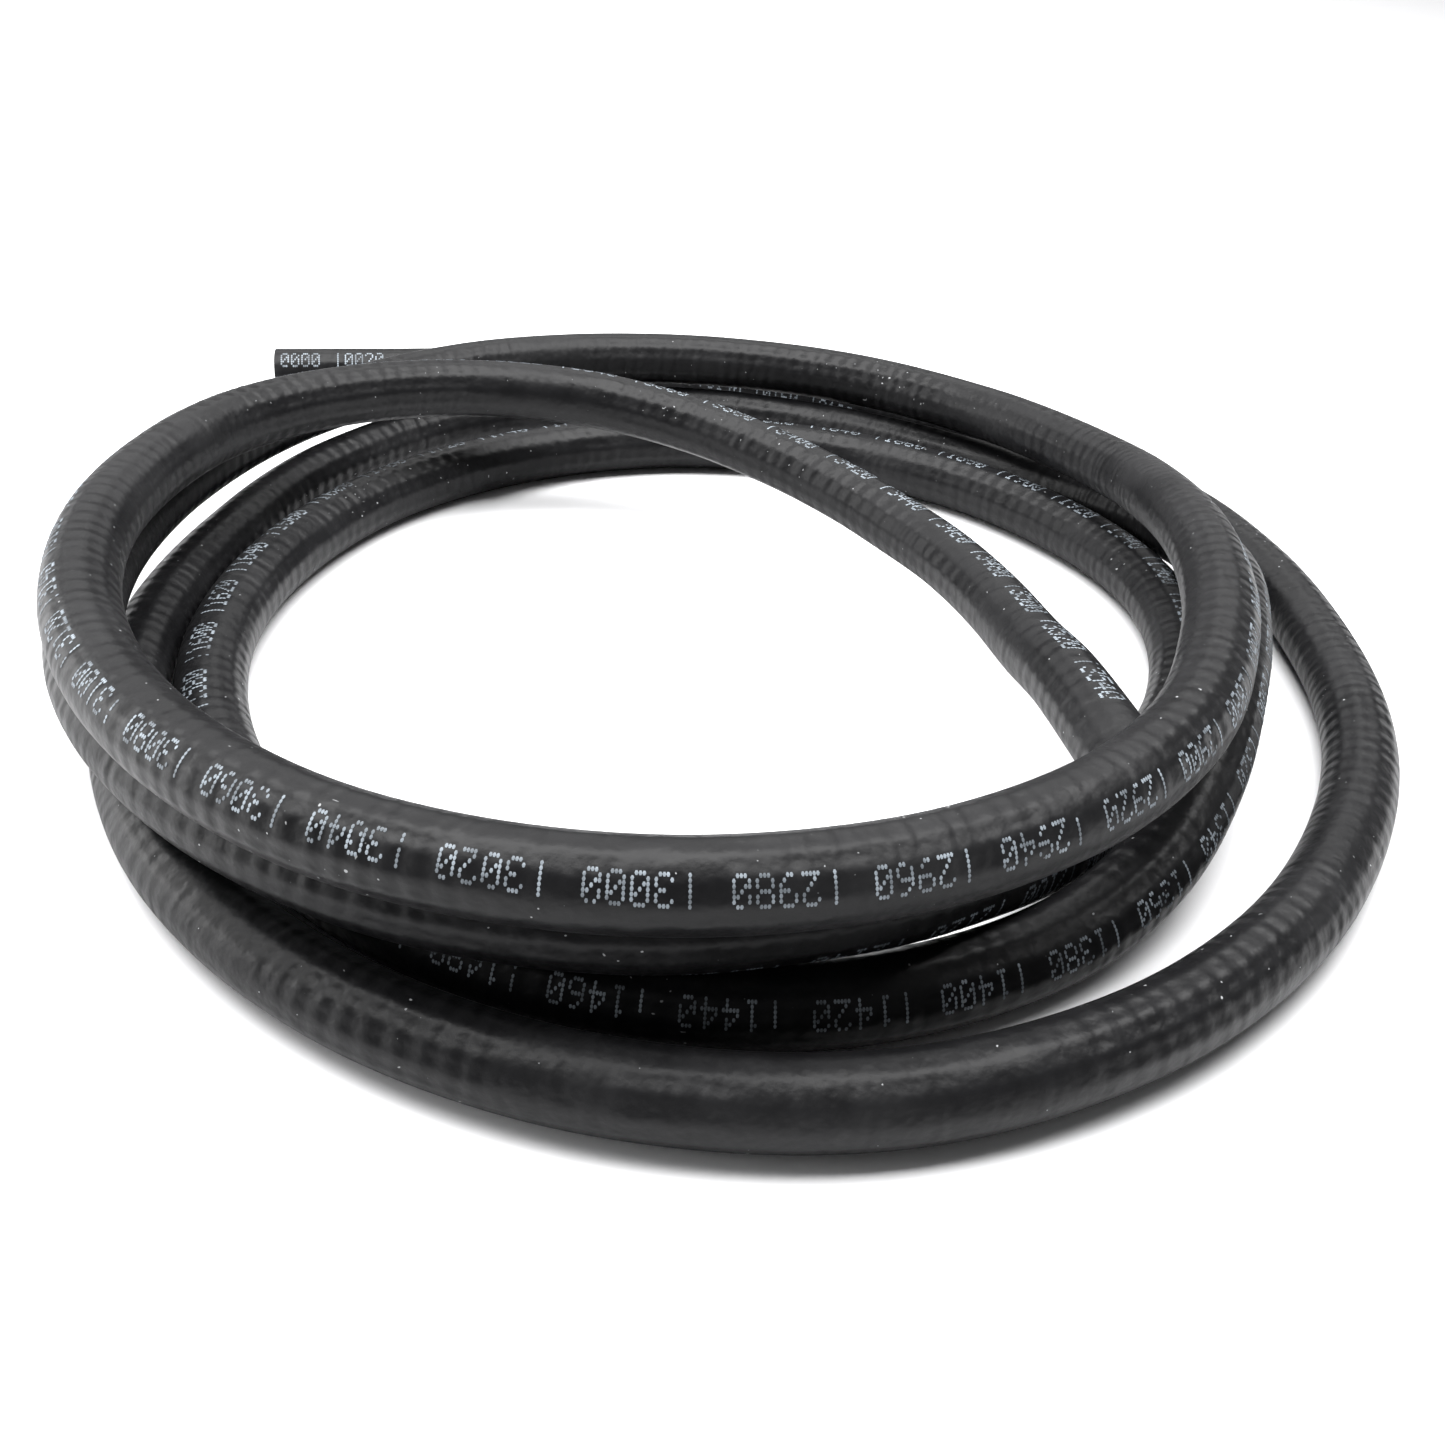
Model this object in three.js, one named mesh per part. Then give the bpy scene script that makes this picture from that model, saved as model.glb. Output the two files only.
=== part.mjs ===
// A length of 3/8 in rubber fuel hose, cut square at both ends, lying in loose turns on a flat surface.
// Millimetres, +Z up. The hose rests on Z = 0 and its box is centred on the origin.
import * as THREE from "three";

// driving dimensions
const HOSE_OUTER_DIAMETER = 15;
const BORE_DIAMETER = 9.5;

// how finely the solid follows the round section and the bends
const OUTER_SIDES = 12;
const BORE_SIDES = 10;
const STEP_IN_DIAMETERS = 1.25;

// The hose's middle line, in hose diameters. It starts at the first cut end, which points to -X.
// The lead is the stretch that runs straight in from that end: across, back and above the floor.
const LEAD = [
  [-8.1, 13.1, 0.5],
  [-6.0, 13.1, 0.5],
  [-3.5, 13.1, 0.5],
  [-1.0, 12.95, 0.5],
  [1.4, 12.35, 0.5],
  [3.7, 11.2, 0.5],
  [5.8, 9.6, 0.5],
  [7.6, 7.7, 0.5],
];

// The turns: degrees clockwise from the back, distance from the middle of the coil, height above the floor.
const OUTERMOST_TURN = [
  [60, 10.58, 0.5],
  [75, 9.9, 0.5],
  [90, 9.3, 0.5],
  [105, 8.95, 0.5],
  [120, 8.7, 0.5],
  [140, 8.57, 0.5],
  [160, 8.6, 0.5],
  [180, 8.7, 0.5],
  [200, 8.68, 0.5],
  [220, 8.65, 0.5],
  [240, 8.65, 0.5],
  [260, 8.7, 0.5],
  [280, 8.92, 0.5],
  [300, 9.33, 0.5],
  [320, 10.2, 0.5],
  [340, 10.85, 0.5],
];

const SECOND_TURN = [
  [360, 10.58, 0.5],
  [380, 9.95, 0.5],
  [400, 9.45, 0.5],
  [415, 9.15, 0.65],
  [430, 8.6, 1.05],
  [445, 7.85, 1.4],
  [460, 7.16, 1.5],
  [475, 6.82, 1.42],
  [490, 6.82, 1.1],
  [505, 6.98, 0.78],
  [520, 7.1, 0.55],
  [540, 7.26, 0.5],
  [560, 7.34, 0.5],
  [580, 7.36, 0.5],
  [600, 7.46, 0.5],
  [620, 7.6, 0.5],
  [640, 7.85, 0.5],
  [660, 8.15, 0.5],
  [680, 8.5, 0.5],
  [700, 8.72, 0.5],
];

const THIRD_TURN = [
  [720, 8.8, 0.5],
  [740, 8.65, 0.5],
  [760, 8.35, 0.5],
  [780, 7.92, 0.5],
  [795, 7.52, 0.5],
  [810, 6.95, 0.5],
  [825, 6.42, 0.5],
  [840, 6.0, 0.5],
  [855, 5.84, 0.56],
  [870, 5.98, 0.82],
  [885, 6.36, 1.2],
  [900, 6.83, 1.44],
  [920, 7.44, 1.53],
  [940, 7.95, 1.52],
  [960, 8.45, 1.52],
  [980, 9.0, 1.52],
  [1000, 9.48, 1.52],
  [1020, 10.02, 1.52],
  [1040, 10.68, 1.52],
  [1060, 11.1, 1.52],
];

const TOP_TURN = [
  [1080, 10.9, 1.52],
  [1100, 10.35, 1.52],
  [1120, 9.38, 1.6],
  [1140, 8.22, 1.85],
  [1155, 7.35, 2.18],
  [1170, 6.78, 2.42],
  [1185, 6.52, 2.5],
  [1200, 6.48, 2.52],
  [1220, 6.75, 2.5],
  [1240, 7.12, 2.5],
  [1260, 7.55, 2.52],
  [1280, 8.02, 2.55],
  [1300, 8.42, 2.55],
  [1320, 8.68, 2.55],
  [1340, 8.92, 2.55],
  [1360, 9.12, 2.55],
  [1380, 9.16, 2.53],
  [1395, 8.85, 2.42],
  [1410, 8.3, 2.24],
  [1425, 7.4, 2.05],
];

// The last stretch leaves the coil and crosses the open middle.
const CROSSING = [
  [1440, 6.4, 1.8],
  [1455, 5.52, 1.55],
  [1470, 4.82, 1.38],
  [1485, 4.32, 1.28],
  [1500, 4.02, 1.26],
  [1515, 3.85, 1.28],
  [1530, 3.83, 1.33],
];

// The tail runs straight to the second cut end, which points to -Y and is tucked under the top turn.
const TAIL = [
  [3.87, -1.4, 1.44],
  [3.9, -2.5, 1.58],
  [3.9, -3.75, 1.64],
  [3.9, -4.85, 1.64],
];

function onTheTurn([degrees, fromMiddle, above]) {
  const turn = THREE.MathUtils.degToRad(degrees);
  return new THREE.Vector3(fromMiddle * Math.sin(turn), fromMiddle * Math.cos(turn), above);
}

function middleLine() {
  const coil = [...OUTERMOST_TURN, ...SECOND_TURN, ...THIRD_TURN, ...TOP_TURN, ...CROSSING];
  const points = [
    ...LEAD.map((place) => new THREE.Vector3(...place)),
    ...coil.map(onTheTurn),
    ...TAIL.map((place) => new THREE.Vector3(...place)),
  ];
  points.forEach((point) => point.multiplyScalar(HOSE_OUTER_DIAMETER));
  const line = new THREE.CatmullRomCurve3(points, false, "centripetal");
  line.arcLengthDivisions = 20 * points.length;
  return line;
}

function ring(Kind, diameter, sides) {
  const corners = [];
  for (let side = 0; side < sides; side += 1) {
    const angle = (2 * Math.PI * (side + 0.5)) / sides;
    corners.push(new THREE.Vector2(Math.cos(angle), Math.sin(angle)).multiplyScalar(diameter / 2));
  }
  return new Kind(corners);
}

function hoseSolid() {
  const section = ring(THREE.Shape, HOSE_OUTER_DIAMETER, OUTER_SIDES);
  section.holes.push(ring(THREE.Path, BORE_DIAMETER, BORE_SIDES));
  const path = middleLine();
  const steps = Math.round(path.getLength() / (STEP_IN_DIAMETERS * HOSE_OUTER_DIAMETER));
  const solid = new THREE.ExtrudeGeometry(section, { extrudePath: path, steps });
  solid.computeBoundingBox();
  const middle = solid.boundingBox.getCenter(new THREE.Vector3());
  solid.translate(-middle.x, -middle.y, -solid.boundingBox.min.z);
  return solid;
}

const rubber = new THREE.MeshStandardMaterial({ color: 0x262628, roughness: 0.5, metalness: 0 });

const hose = new THREE.Mesh(hoseSolid(), rubber);
hose.name = "hose";

const fuelHose = new THREE.Group();
fuelHose.add(hose);

export default fuelHose;
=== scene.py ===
import math
import random

import bpy
import numpy as np
from mathutils import Matrix, Vector


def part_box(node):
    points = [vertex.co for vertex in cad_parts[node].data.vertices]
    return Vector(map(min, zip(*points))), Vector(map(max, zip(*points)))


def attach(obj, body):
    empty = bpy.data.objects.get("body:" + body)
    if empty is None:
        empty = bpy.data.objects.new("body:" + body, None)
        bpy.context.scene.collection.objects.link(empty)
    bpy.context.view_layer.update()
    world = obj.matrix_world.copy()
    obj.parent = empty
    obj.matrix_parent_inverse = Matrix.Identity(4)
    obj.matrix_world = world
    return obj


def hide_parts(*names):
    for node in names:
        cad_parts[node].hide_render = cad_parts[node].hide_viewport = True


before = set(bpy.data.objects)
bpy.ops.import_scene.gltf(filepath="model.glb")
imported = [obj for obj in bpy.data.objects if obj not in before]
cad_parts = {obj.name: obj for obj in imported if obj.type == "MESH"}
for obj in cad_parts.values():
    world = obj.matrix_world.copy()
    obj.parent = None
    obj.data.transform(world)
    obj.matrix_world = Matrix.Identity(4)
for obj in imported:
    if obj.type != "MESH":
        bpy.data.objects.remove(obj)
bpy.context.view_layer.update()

# The camera
# It stands in front of the coil and a little to its left, looks down on it, and is tilted sideways.
LENS = 0.0361
SENSOR_WIDTH = 0.036
NEAREST_SEEN = 0.01
CAMERA_PLACE = Vector((-0.0576, -0.3104, 0.1716))
CAMERA_TURN = math.radians(10.5)
CAMERA_PITCH = math.radians(32.5)
CAMERA_ROLL = math.radians(3.2)
MILLIMETRES = 1000

level_right = Vector((math.cos(CAMERA_TURN), -math.sin(CAMERA_TURN), 0.0))
ahead = Vector((
    math.sin(CAMERA_TURN) * math.cos(CAMERA_PITCH),
    math.cos(CAMERA_TURN) * math.cos(CAMERA_PITCH),
    -math.sin(CAMERA_PITCH),
))
level_up = level_right.cross(ahead)
camera_right = math.cos(CAMERA_ROLL) * level_right + math.sin(CAMERA_ROLL) * level_up
camera_up = camera_right.cross(ahead)
camera_axes = Matrix((camera_right, camera_up, -ahead)).transposed().to_4x4()
camera_data = bpy.data.cameras.new("camera")
camera_data.lens = LENS * MILLIMETRES
camera_data.sensor_width = SENSOR_WIDTH * MILLIMETRES
camera_data.clip_start = NEAREST_SEEN
camera = bpy.data.objects.new("camera", camera_data)
camera.matrix_world = Matrix.Translation(CAMERA_PLACE) @ camera_axes
bpy.context.scene.collection.objects.link(camera)
bpy.context.scene.camera = camera

# The hose
# One length of 3/8 in fuel hose: a rubber tube, a layer of braided thread and a rubber cover, cured
# together and cut square at both ends. It lies in loose turns, each on the one before.
HOSE_DIAMETER = 0.015
BORE_DIAMETER = 0.0095
EDGE_ROUND = 0.0003
# The braid shows in the cut faces as a ring of thread: depth below the cover, then thickness.
THREAD_RING_DEPTH = 0.0011
THREAD_RING_THICKNESS = 0.0006
RING_SIDES = 40
RING_SPACING = 0.0019
BORE_RING_SPACING = 0.012
LINE_SPACING = 0.0005
# The cover's slow unevenness from the curing, as waves on a true cylinder: height in metres,
# radians per metre along the hose, waves in one round of the hose, and where the wave starts.
COVER_WAVES = [(0.00002, 71, 2, 0.0), (0.00002, 43, -1, 1.7), (0.000012, 190, 3, 0.6)]

# The middle line in hose diameters: across, back, up.
LEAD = [
    (-8.1, 13.1, 0.5), (-6.0, 13.1, 0.5), (-3.5, 13.1, 0.5), (-1.0, 12.95, 0.5), (1.4, 12.35, 0.5),
    (3.7, 11.2, 0.5), (5.8, 9.6, 0.5), (7.6, 7.7, 0.5),
]
# The turns: degrees clockwise from the back, distance from the coil's middle, height.
TURNS = [
    (60, 10.58, 0.5), (75, 9.9, 0.5), (90, 9.3, 0.5), (105, 8.95, 0.5), (120, 8.7, 0.5), (140, 8.57, 0.5),
    (160, 8.6, 0.5), (180, 8.7, 0.5), (200, 8.68, 0.5), (220, 8.65, 0.5), (240, 8.65, 0.5), (260, 8.7, 0.5),
    (280, 8.92, 0.5), (300, 9.33, 0.5), (320, 10.2, 0.5), (340, 10.85, 0.5),
    (360, 10.58, 0.5), (380, 9.95, 0.5), (400, 9.45, 0.5), (415, 9.15, 0.65), (430, 8.6, 1.05),
    (445, 7.85, 1.4), (460, 7.16, 1.5), (475, 6.82, 1.42), (490, 6.82, 1.1), (505, 6.98, 0.78),
    (520, 7.1, 0.55), (540, 7.26, 0.5), (560, 7.34, 0.5), (580, 7.36, 0.5), (600, 7.46, 0.5),
    (620, 7.6, 0.5), (640, 7.85, 0.5), (660, 8.15, 0.5), (680, 8.5, 0.5), (700, 8.72, 0.5),
    (720, 8.8, 0.5), (740, 8.65, 0.5), (760, 8.35, 0.5), (780, 7.92, 0.5), (795, 7.52, 0.5),
    (810, 6.95, 0.5), (825, 6.42, 0.5), (840, 6.0, 0.5), (855, 5.84, 0.56), (870, 5.98, 0.82),
    (885, 6.36, 1.2), (900, 6.83, 1.44), (920, 7.44, 1.53), (940, 7.95, 1.52), (960, 8.45, 1.52),
    (980, 9.0, 1.52), (1000, 9.48, 1.52), (1020, 10.02, 1.52), (1040, 10.68, 1.52), (1060, 11.1, 1.52),
    (1080, 10.9, 1.52), (1100, 10.35, 1.52), (1120, 9.38, 1.6), (1140, 8.22, 1.85), (1155, 7.35, 2.18),
    (1170, 6.78, 2.42), (1185, 6.52, 2.5), (1200, 6.48, 2.52), (1220, 6.75, 2.5), (1240, 7.12, 2.5),
    (1260, 7.55, 2.52), (1280, 8.02, 2.55), (1300, 8.42, 2.55), (1320, 8.68, 2.55), (1340, 8.92, 2.55),
    (1360, 9.12, 2.55), (1380, 9.16, 2.53), (1395, 8.85, 2.42), (1410, 8.3, 2.24), (1425, 7.4, 2.05),
    (1440, 6.4, 1.8), (1455, 5.52, 1.55), (1470, 4.82, 1.38), (1485, 4.32, 1.28), (1500, 4.02, 1.26),
    (1515, 3.85, 1.28), (1530, 3.83, 1.33),
]
TAIL = [(3.87, -1.4, 1.44), (3.9, -2.5, 1.58), (3.9, -3.75, 1.64), (3.9, -4.85, 1.64)]


def place_on_turn(degrees, from_middle, above):
    turn = math.radians(degrees)
    return (from_middle * math.sin(turn), from_middle * math.cos(turn), above)


def smooth_line(stations, spacing):
    """A centripetal Catmull-Rom line through the stations, as points about spacing apart."""
    before_first = 2 * stations[0] - stations[1]
    after_last = 2 * stations[-1] - stations[-2]
    padded = np.vstack([before_first, stations, after_last])
    line = []
    for p0, p1, p2, p3 in zip(padded, padded[1:], padded[2:], padded[3:]):
        gap0, gap1, gap2 = (np.linalg.norm(b - a) ** 0.5 for a, b in ((p0, p1), (p1, p2), (p2, p3)))
        slope1 = ((p1 - p0) / gap0 - (p2 - p0) / (gap0 + gap1) + (p2 - p1) / gap1) * gap1
        slope2 = ((p2 - p1) / gap1 - (p3 - p1) / (gap1 + gap2) + (p3 - p2) / gap2) * gap1
        count = max(2, round(np.linalg.norm(p2 - p1) / spacing))
        t = np.linspace(0, 1, count, endpoint=False)[:, None]
        cubic = 2 * p1 - 2 * p2 + slope1 + slope2
        square = -3 * p1 + 3 * p2 - 2 * slope1 - slope2
        line.append(p1 + slope1 * t + square * t**2 + cubic * t**3)
    return np.vstack(line + [stations[-1:]])


stations = np.array(LEAD + [place_on_turn(*station) for station in TURNS] + TAIL) * HOSE_DIAMETER
middle_line = smooth_line(stations, LINE_SPACING)
# The coil's middle isn't the middle of its box, and the box is centred on the frame.
cad_low, cad_high = (np.array(corner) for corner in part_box("hose"))
line_low, line_high = middle_line.min(axis=0), middle_line.max(axis=0)
shift_x = (cad_low[0] + cad_high[0]) / 2 - (line_low[0] + line_high[0]) / 2
shift_y = (cad_low[1] + cad_high[1]) / 2 - (line_low[1] + line_high[1]) / 2
middle_line = middle_line + (shift_x, shift_y, 0)

steps = np.linalg.norm(np.diff(middle_line, axis=0), axis=1)
line_along = np.concatenate([[0], np.cumsum(steps)])
HOSE_LENGTH = float(line_along[-1])
line_ahead = np.gradient(middle_line, line_along, axis=0)
line_ahead /= np.linalg.norm(line_ahead, axis=1)[:, None]


def on_line(along):
    """The middle line's point and its left, up and ahead directions at distances along the hose."""
    along = np.atleast_1d(along)
    point = np.stack([np.interp(along, line_along, middle_line[:, k]) for k in range(3)], axis=1)
    ahead_there = np.stack([np.interp(along, line_along, line_ahead[:, k]) for k in range(3)], axis=1)
    ahead_there /= np.linalg.norm(ahead_there, axis=1)[:, None]
    left = np.cross((0, 0, 1), ahead_there)
    left /= np.linalg.norm(left, axis=1)[:, None]
    return point, left, np.cross(ahead_there, left), ahead_there


def swelling(along, around):
    """How far the cover stands off a true cylinder, in metres."""
    return sum(
        height * np.sin(along * per_metre + waves_round * around + start)
        for height, per_metre, waves_round, start in COVER_WAVES
    )


def surface_point(along, around, radius):
    point, left, up, _ = on_line(along)
    outward = np.cos(around)[:, None] * left + np.sin(around)[:, None] * up
    return point + np.asarray(radius)[:, None] * outward


def hose_rings():
    """Each ring's distance along the hose, its radius, and whether it is on the cover.

    They run over the cover from end to end, in across the cut face, back through the bore to the
    first end, and out across its cut face.
    """
    outer, bore = HOSE_DIAMETER / 2, BORE_DIAMETER / 2
    first_ring, last_ring = EDGE_ROUND, HOSE_LENGTH - EDGE_ROUND
    cover_rings = np.linspace(first_ring, last_ring, round(HOSE_LENGTH / RING_SPACING))
    bore_rings = np.linspace(last_ring, first_ring, round(HOSE_LENGTH / BORE_RING_SPACING))
    mid_edge = EDGE_ROUND * (1 - math.sqrt(0.5))
    rounded_edge = [(mid_edge, mid_edge), (0.0, EDGE_ROUND)]
    thread_outer = outer - THREAD_RING_DEPTH
    thread_ring = [thread_outer, thread_outer - THREAD_RING_THICKNESS]
    rings = [(along, outer, True) for along in cover_rings]
    rings += [(HOSE_LENGTH - back, outer - inward, False) for back, inward in rounded_edge]
    rings += [(HOSE_LENGTH, radius, False) for radius in thread_ring]
    rings += [(HOSE_LENGTH - back, bore + outward, False) for back, outward in reversed(rounded_edge)]
    rings += [(along, bore, False) for along in bore_rings]
    rings += [(back, bore + outward, False) for back, outward in rounded_edge]
    rings += [(0.0, radius, False) for radius in reversed(thread_ring)]
    rings += [(back, outer - inward, False) for back, inward in reversed(rounded_edge)]
    return rings


def hose_mesh():
    """The closed skin through all rings. It carries each point's place on the straight hose."""
    rings = hose_rings()
    around = np.tile(np.arange(RING_SIDES) * 2 * math.pi / RING_SIDES, len(rings))
    along = np.repeat([ring[0] for ring in rings], RING_SIDES)
    radius = np.repeat([ring[1] for ring in rings], RING_SIDES)
    is_cover = np.repeat([ring[2] for ring in rings], RING_SIDES)
    radius = radius + is_cover * swelling(along, around)
    corners = np.arange(len(rings) * RING_SIDES).reshape(len(rings), RING_SIDES)
    next_ring = np.roll(corners, -1, axis=0)
    faces = np.stack([
        corners, np.roll(corners, -1, axis=1), np.roll(next_ring, -1, axis=1), next_ring,
    ], axis=2).reshape(-1, 4)
    mesh = bpy.data.meshes.new("fuel_hose")
    mesh.from_pydata(surface_point(along, around, radius).tolist(), [], faces.tolist())
    mesh.shade_smooth()
    straight = mesh.attributes.new("straight", "FLOAT_VECTOR", "POINT")
    laid_straight = np.stack([radius * np.cos(around), radius * np.sin(around), along], axis=1)
    straight.data.foreach_set("vector", laid_straight.ravel())
    return mesh


fuel_hose = bpy.data.objects.new("fuel_hose", hose_mesh())
bpy.context.scene.collection.objects.link(fuel_hose)


class Socket:
    """A node's output, which Python's operators turn into Math nodes."""

    def __init__(self, tree, output):
        self.tree = tree
        self.output = output

    def math(self, operation, *others):
        return add_node(self.tree, "ShaderNodeMath", {"operation": operation}, [self, *others])

    def __add__(self, other):
        return self.math("ADD", other)

    def __sub__(self, other):
        return self.math("SUBTRACT", other)

    def __rsub__(self, other):
        return add_node(self.tree, "ShaderNodeMath", {"operation": "SUBTRACT"}, [other, self])

    def __mul__(self, other):
        return self.math("MULTIPLY", other)

    __radd__ = __add__
    __rmul__ = __mul__


def add_node(tree, kind, settings=None, inputs=(), output=0):
    """Adds a node: its settings first, then its inputs by order or by name. Returns an output."""
    node = tree.nodes.new(kind)
    for name, value in (settings or {}).items():
        setattr(node, name, value)
    named = inputs.items() if isinstance(inputs, dict) else enumerate(inputs)
    for key, value in named:
        if isinstance(value, Socket):
            tree.links.new(value.output, node.inputs[key])
        else:
            node.inputs[key].default_value = value
    return Socket(tree, node.outputs[output])


def between(value, low, high):
    """0 below low, 1 above high, and a smooth rise from one to the other."""
    settings = {"interpolation_type": "SMOOTHSTEP"}
    inputs = {"Value": value, "From Min": low, "From Max": high}
    return add_node(value.tree, "ShaderNodeMapRange", settings, inputs)


def noise(place, size, detail=2.0, roughness=0.5):
    """Noise from 0 to 1 whose features are about size metres across."""
    inputs = {"Vector": place, "Scale": 1 / size, "Detail": detail, "Roughness": roughness}
    return add_node(place.tree, "ShaderNodeTexNoise", None, inputs)


# The Mix node has sockets of one name for numbers, vectors and colours: these are the colour ones.
MIX_LOW_COLOUR = 6
MIX_HIGH_COLOUR = 7
MIX_COLOUR_OUT = 2


def mixed(low_colour, high_colour, amount):
    """One colour where amount is 0, the other where it is 1."""
    inputs = {"Factor": amount, MIX_LOW_COLOUR: low_colour, MIX_HIGH_COLOUR: high_colour}
    return add_node(amount.tree, "ShaderNodeMix", {"data_type": "RGBA"}, inputs, MIX_COLOUR_OUT)


def new_material(name):
    material = bpy.data.materials.new(name)
    material.use_nodes = True
    return material, material.node_tree, material.node_tree.nodes["Principled BSDF"]


DEEP_BLACK = (0.002, 0.002, 0.0023, 1)
PALER_BLACK = (0.009, 0.009, 0.010, 1)
SMUDGED_BLACK = (0.020, 0.020, 0.021, 1)
SMUDGE_STRENGTH = 0.4
DUST_COLOUR = (0.40, 0.41, 0.42, 1)
DUST_STRENGTH = 0.8
THREAD_COLOUR = (0.30, 0.28, 0.24, 1)
THREAD_RING_BLUR = 0.0001
COVER_ROUGHNESS = 0.36
MOTTLE_ROUGHNESS = 0.14
SMUDGE_ROUGHNESS = 0.08
COVER_SPECULAR = 0.19
BEADS_ROUND = 6
BEAD_PITCH = 0.0044
BEAD_WANDER = 4
WRINKLE_PITCH = 0.0031
WRINKLE_WANDER = 5
WRINKLE_SLANT = 2
# The relief's heights are in units of RELIEF_UNIT metres.
RELIEF_UNIT = 0.0001
BEAD_HEIGHT = 1.90
WRINKLE_HEIGHT = 0.80
SWELL_HEIGHT = 4.0
GRAIN_HEIGHT = 0.35


def hose_rubber():
    """Black cover rubber, satin, with the braid showing through it and dust on it."""
    material, tree, surface = new_material("hose_rubber")
    straight = add_node(tree, "ShaderNodeAttribute", {"attribute_name": "straight"}, output="Vector")
    separated = add_node(tree, "ShaderNodeSeparateXYZ", None, [straight])
    x, y, z = (Socket(tree, output) for output in separated.output.node.outputs)
    around = y.math("ARCTAN2", x)
    radius = (x * x + y * y).math("SQRT")

    # the braid's two families of threads show through the cover as rows of soft beads
    lay = z * (math.pi / BEAD_PITCH) + noise(straight, size=0.020, detail=1.0) * BEAD_WANDER
    one_way = (around * BEADS_ROUND + lay).math("SINE")
    other_way = (around * BEADS_ROUND - lay).math("SINE")
    beaded_stretches = between(noise(straight, size=0.040), 0.32, 0.56)
    beads = one_way * other_way * beaded_stretches
    # shallow wrinkles run slanting round the hose, in some stretches and patches only
    wander = noise(straight, size=0.012, detail=1.0) * WRINKLE_WANDER
    ripple = z * (2 * math.pi / WRINKLE_PITCH) + around * WRINKLE_SLANT + wander
    wrinkled_stretches = between(noise(straight, size=0.030), 0.42, 0.62)
    wrinkled_patches = between(noise(straight, size=0.006), 0.36, 0.60)
    wrinkles = ripple.math("SINE") * wrinkled_stretches * wrinkled_patches
    swells = noise(straight, size=0.004, detail=2.0)
    grain = noise(straight, size=0.0006, detail=3.0, roughness=0.6)
    height = beads * BEAD_HEIGHT + wrinkles * WRINKLE_HEIGHT + swells * SWELL_HEIGHT + grain * GRAIN_HEIGHT

    mottle = noise(straight, size=0.008, detail=4.0, roughness=0.6)
    smudge = between(noise(straight, size=0.030, detail=3.0), 0.45, 0.70)
    rubber = mixed(DEEP_BLACK, PALER_BLACK, mottle)
    rubber = mixed(rubber, SMUDGED_BLACK, smudge * SMUDGE_STRENGTH)
    # dust lies on it as single specks, and closer together in a few small drifts
    drift = between(noise(straight, size=0.040, detail=2.0), 0.52, 0.68)
    dust = between(noise(straight, size=0.0009, detail=0.0), 0.86 - drift * 0.06, 0.90 - drift * 0.06)
    rubber = mixed(rubber, DUST_COLOUR, dust * DUST_STRENGTH)
    # cut thread ends show in a ring of the cut faces
    thread_outer = HOSE_DIAMETER / 2 - THREAD_RING_DEPTH
    thread_inner = thread_outer - THREAD_RING_THICKNESS
    outside_inner = between(radius, thread_inner, thread_inner + THREAD_RING_BLUR)
    outside_outer = between(radius, thread_outer, thread_outer + THREAD_RING_BLUR)
    thread_ring = outside_inner * (1 - outside_outer)
    rubber = mixed(rubber, THREAD_COLOUR, thread_ring * between(one_way, -0.2, 0.2))

    relief = {"Strength": 1.0, "Distance": RELIEF_UNIT, "Height": height}
    bump = add_node(tree, "ShaderNodeBump", None, relief)
    roughness = COVER_ROUGHNESS + mottle * MOTTLE_ROUGHNESS + smudge * SMUDGE_ROUGHNESS
    tree.links.new(rubber.output, surface.inputs["Base Color"])
    tree.links.new(roughness.output, surface.inputs["Roughness"])
    tree.links.new(bump.output, surface.inputs["Normal"])
    surface.inputs["Specular IOR Level"].default_value = COVER_SPECULAR
    return material


fuel_hose.data.materials.append(hose_rubber())
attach(fuel_hose, "root")
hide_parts("hose")

# The length marks
# White ink jetted on the hose as it leaves the line: the millimetres from the first end at each step
# of length, every figure a grid of small dots, and a tick before each number but the first.
MARK_STEP = 0.020
FIGURE_PITCH = 0.0032
FIGURES_START = 0.0024
FIGURE_ROWS = 7
DOT_STEP_ALONG = 0.00053
DOT_STEP_AROUND = 0.00076
DOT_LENGTH = 0.00052
DOT_WIDTH = 0.00080
DOT_SIDES = 6
DOT_RIM_ABOVE = 0.00003
DOT_TOP_ABOVE = 0.00006
DOT_FOOT_BELOW = 0.0002
MARKS_SEED = 11
MISSING_DOTS = 0.05
DULL_INK = (0.10, 0.115, 0.13, 1)
BRIGHT_INK = (0.25, 0.285, 0.32, 1)
INK_ROUGHNESS = 0.6
FIGURES = {
    "0": "01110 10001 10011 10101 11001 10001 01110",
    "1": "00100 01100 00100 00100 00100 00100 01110",
    "2": "01110 10001 00001 00010 00100 01000 11111",
    "3": "01110 10001 00001 00110 00001 10001 01110",
    "4": "00010 00110 01010 10010 11111 00010 00010",
    "5": "11111 10000 11110 00001 00001 10001 01110",
    "6": "00110 01000 10000 11110 10001 10001 01110",
    "7": "11111 00001 00010 00100 01000 01000 01000",
    "8": "01110 10001 10001 01110 10001 10001 01110",
    "9": "01110 10001 10001 01111 00001 00010 01100",
}
# Where the line of marks lies round the hose, which twists as it is coiled: distance in hose
# diameters from the first end, then degrees up from the left side.
MARKS_TWIST = [
    (0, 128), (6, 128), (20, 250), (70, 270), (84, 385), (95, 386), (101, 402), (108, 442), (115, 430),
    (122, 430), (129, 448), (134, 440), (147, 270), (178, 270), (189, 395), (198, 386), (203, 404),
    (209, 408), (213, 396), (220, 415), (226, 438), (240, 445),
]


def marks_around(along):
    distances, degrees = zip(*MARKS_TWIST)
    return np.radians(np.interp(along / HOSE_DIAMETER, distances, degrees))


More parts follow.
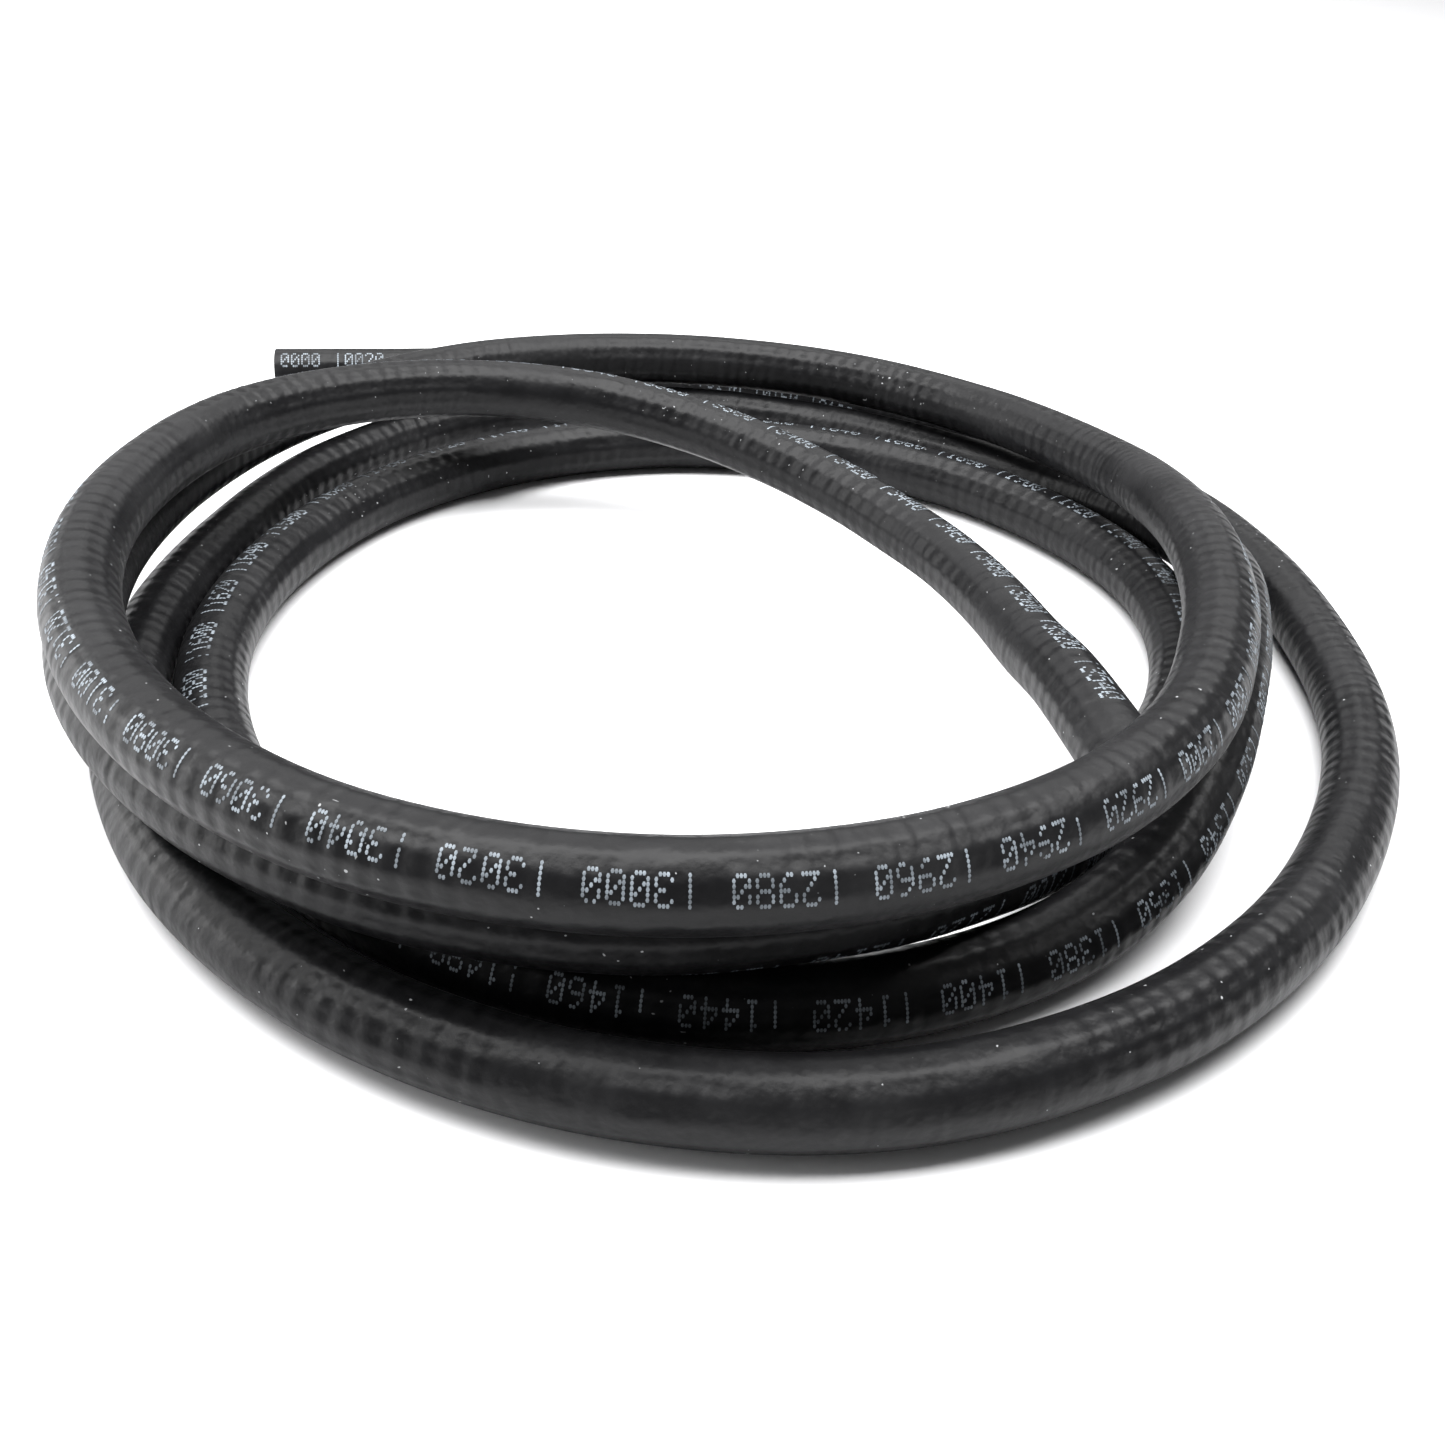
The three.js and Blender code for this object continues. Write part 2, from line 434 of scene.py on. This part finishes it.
def mark_dots():
    """The places of all dots: distance along the hose and angle round it."""
    chance = random.Random(MARKS_SEED)
    middle_row = (FIGURE_ROWS - 1) / 2
    dots = []
    for mark in range(int(HOSE_LENGTH / MARK_STEP)):
        start = mark * MARK_STEP
        grid = [(start, row) for row in range(FIGURE_ROWS) if mark > 0]
        for place, figure in enumerate(f"{round(start * MILLIMETRES):04d}"):
            first_column = start + FIGURES_START + place * FIGURE_PITCH
            for row, columns in enumerate(FIGURES[figure].split()):
                for k, ink in enumerate(columns):
                    if ink == "1":
                        grid.append((first_column + k * DOT_STEP_ALONG, row))
        for along, row in grid:
            if along < HOSE_LENGTH - DOT_LENGTH and chance.random() > MISSING_DOTS:
                dots.append((along, (row - middle_row) * DOT_STEP_AROUND / (HOSE_DIAMETER / 2)))
    return np.array(dots)


def marks_mesh():
    """Every dot as a low dome, with a foot that is sunk in the rubber."""
    dots = mark_dots()
    along, around = dots[:, 0], dots[:, 1] + marks_around(dots[:, 0])
    turn = np.arange(DOT_SIDES) * 2 * math.pi / DOT_SIDES
    rim_along = along[:, None] + DOT_LENGTH / 2 * np.cos(turn)
    rim_around = around[:, None] + DOT_WIDTH / HOSE_DIAMETER * np.sin(turn)
    dot_along = np.column_stack([rim_along, along, along])
    dot_around = np.column_stack([rim_around, around, around])
    above = np.array([DOT_RIM_ABOVE] * DOT_SIDES + [DOT_TOP_ABOVE, -DOT_FOOT_BELOW])
    radius = HOSE_DIAMETER / 2 + above + swelling(dot_along, dot_around)
    points = surface_point(dot_along.ravel(), dot_around.ravel(), radius.ravel())
    side = np.arange(DOT_SIDES)
    next_side = np.roll(side, -1)
    top, foot = DOT_SIDES, DOT_SIDES + 1
    one_dot = [(top, a, b) for a, b in zip(next_side, side)]
    one_dot += [(foot, a, b) for a, b in zip(side, next_side)]
    faces = np.array(one_dot)[None] + (np.arange(len(dots)) * (DOT_SIDES + 2))[:, None, None]
    mesh = bpy.data.meshes.new("length_marks")
    mesh.from_pydata(points.tolist(), [], faces.reshape(-1, 3).tolist())
    return mesh


def white_ink():
    """Thin bluish white ink that has dulled unevenly."""
    material, tree, surface = new_material("white_ink")
    place = add_node(tree, "ShaderNodeTexCoord", output="Object")
    worn = between(noise(place, size=0.004, detail=3.0), 0.35, 0.65)
    ink = mixed(DULL_INK, BRIGHT_INK, worn)
    tree.links.new(ink.output, surface.inputs["Base Color"])
    surface.inputs["Roughness"].default_value = INK_ROUGHNESS
    return material


length_marks = bpy.data.objects.new("length_marks", marks_mesh())
length_marks.data.materials.append(white_ink())
bpy.context.scene.collection.objects.link(length_marks)
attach(length_marks, "root")
CORD_PATH_SPACING = 0.003
on_line(np.arange(0, HOSE_LENGTH, CORD_PATH_SPACING))[0].tolist() + [middle_line[-1].tolist()]

# The floor
# A plain, near-white studio table that the hose lies on. It is wide enough to fill the picture.
FLOOR_SIZE = 6.0
FLOOR_COLOUR = (0.86, 0.86, 0.87, 1)
FLOOR_ROUGHNESS = 0.7
half = FLOOR_SIZE / 2
floor_corners = [(-half, -half, 0), (half, -half, 0), (half, half, 0), (-half, half, 0)]
floor_mesh = bpy.data.meshes.new("floor")
floor_mesh.from_pydata(floor_corners, [], [(0, 1, 2, 3)])
floor = bpy.data.objects.new("floor", floor_mesh)
floor_material, _, floor_surface = new_material("floor_white")
floor_surface.inputs["Base Color"].default_value = FLOOR_COLOUR
floor_surface.inputs["Roughness"].default_value = FLOOR_ROUGHNESS
floor.data.materials.append(floor_material)
bpy.context.scene.collection.objects.link(floor)

# The light
# A soft box overhead, one over the floor behind the hose, a low one at the left that lights the
# rims, and dim white surroundings.
SURROUNDINGS_COLOUR = (1, 1, 1, 1)
SURROUNDINGS_STRENGTH = 0.16


def soft_box(name, place, aim, width, depth, watts):
    data = bpy.data.lights.new(name, "AREA")
    data.shape = "RECTANGLE"
    data.size = width
    data.size_y = depth
    data.energy = watts
    box = bpy.data.objects.new(name, data)
    box.location = place
    box.rotation_euler = (Vector(aim) - Vector(place)).to_track_quat("-Z", "Y").to_euler()
    bpy.context.scene.collection.objects.link(box)


soft_box("top_box", place=(0.0, 0.1, 1.0), aim=(0, -0.05, 0), width=1.7, depth=0.7, watts=42)
soft_box("back_box", place=(0.0, 1.7, 1.1), aim=(0, 1.5, 0), width=3.0, depth=1.0, watts=26)
soft_box("left_box", place=(-1.2, 0.3, 0.35), aim=(0, 0, 0.02), width=1.2, depth=0.5, watts=14)
world = bpy.data.worlds.new("studio")
bpy.context.scene.world = world
world.use_nodes = True
surroundings = world.node_tree.nodes["Background"]
surroundings.inputs["Color"].default_value = SURROUNDINGS_COLOUR
surroundings.inputs["Strength"].default_value = SURROUNDINGS_STRENGTH
bpy.context.scene.view_settings.view_transform = "Standard"
